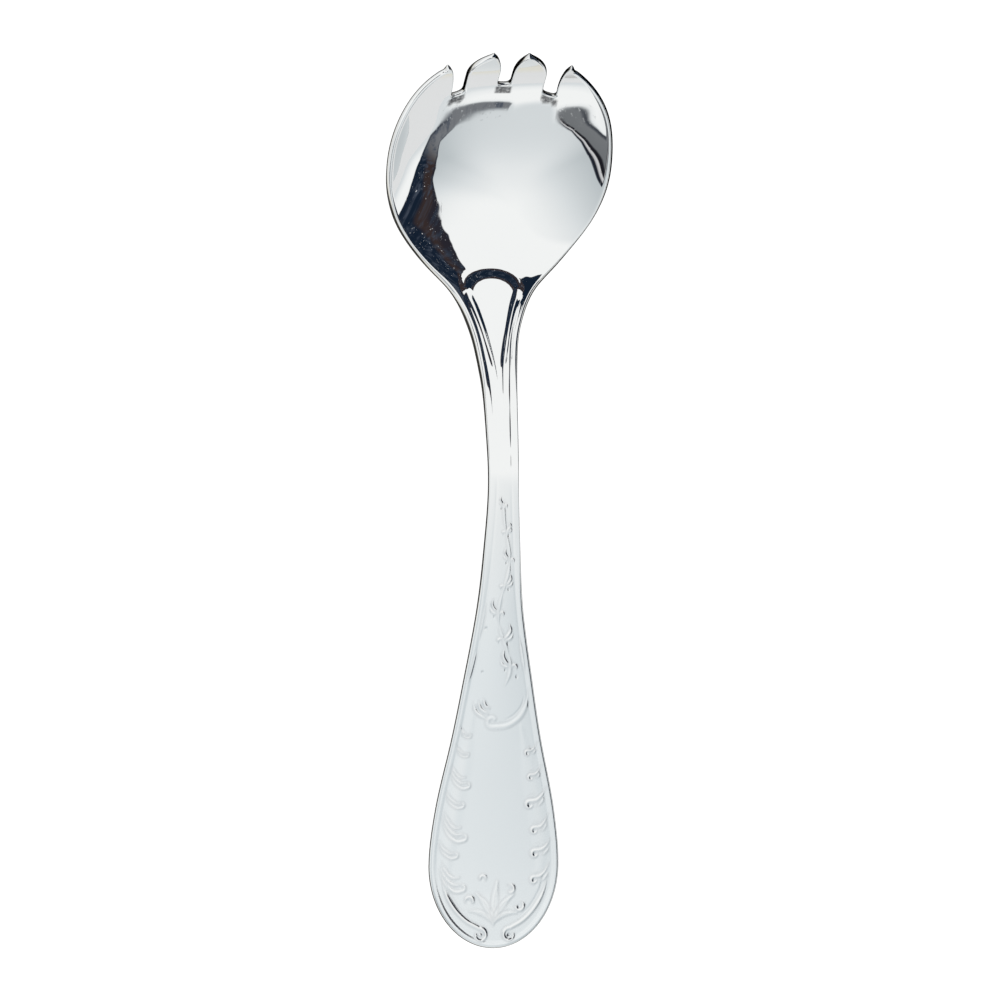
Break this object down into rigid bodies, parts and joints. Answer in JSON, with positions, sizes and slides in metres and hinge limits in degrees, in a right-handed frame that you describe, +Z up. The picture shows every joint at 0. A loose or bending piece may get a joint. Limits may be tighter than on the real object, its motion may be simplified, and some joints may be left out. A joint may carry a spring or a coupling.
{
  "type": "salad serving fork",
  "caption": "One-piece salad serving fork: a deep oval bowl with short pointed tines cut into its raised front, an arched stem and a broad round-ended handle with beaded edges.",
  "frame": {"origin": "on the table that the fork lies on, at the middle of its length and width", "axes": "+Y along the fork towards the tips of the tines, +Z up out of the open bowl, +X to the right seen from above"},
  "size_m": [0.0628, 0.2401, 0.0307],
  "materials": {
    "steel": "mirror polish on the bowl, tines, neck and stem; pale satin on the face of the handle, with low polished relief"
  },
  "bodies": {
    "root": {"serving_fork": "steel"}
  },
  "joints": []
}
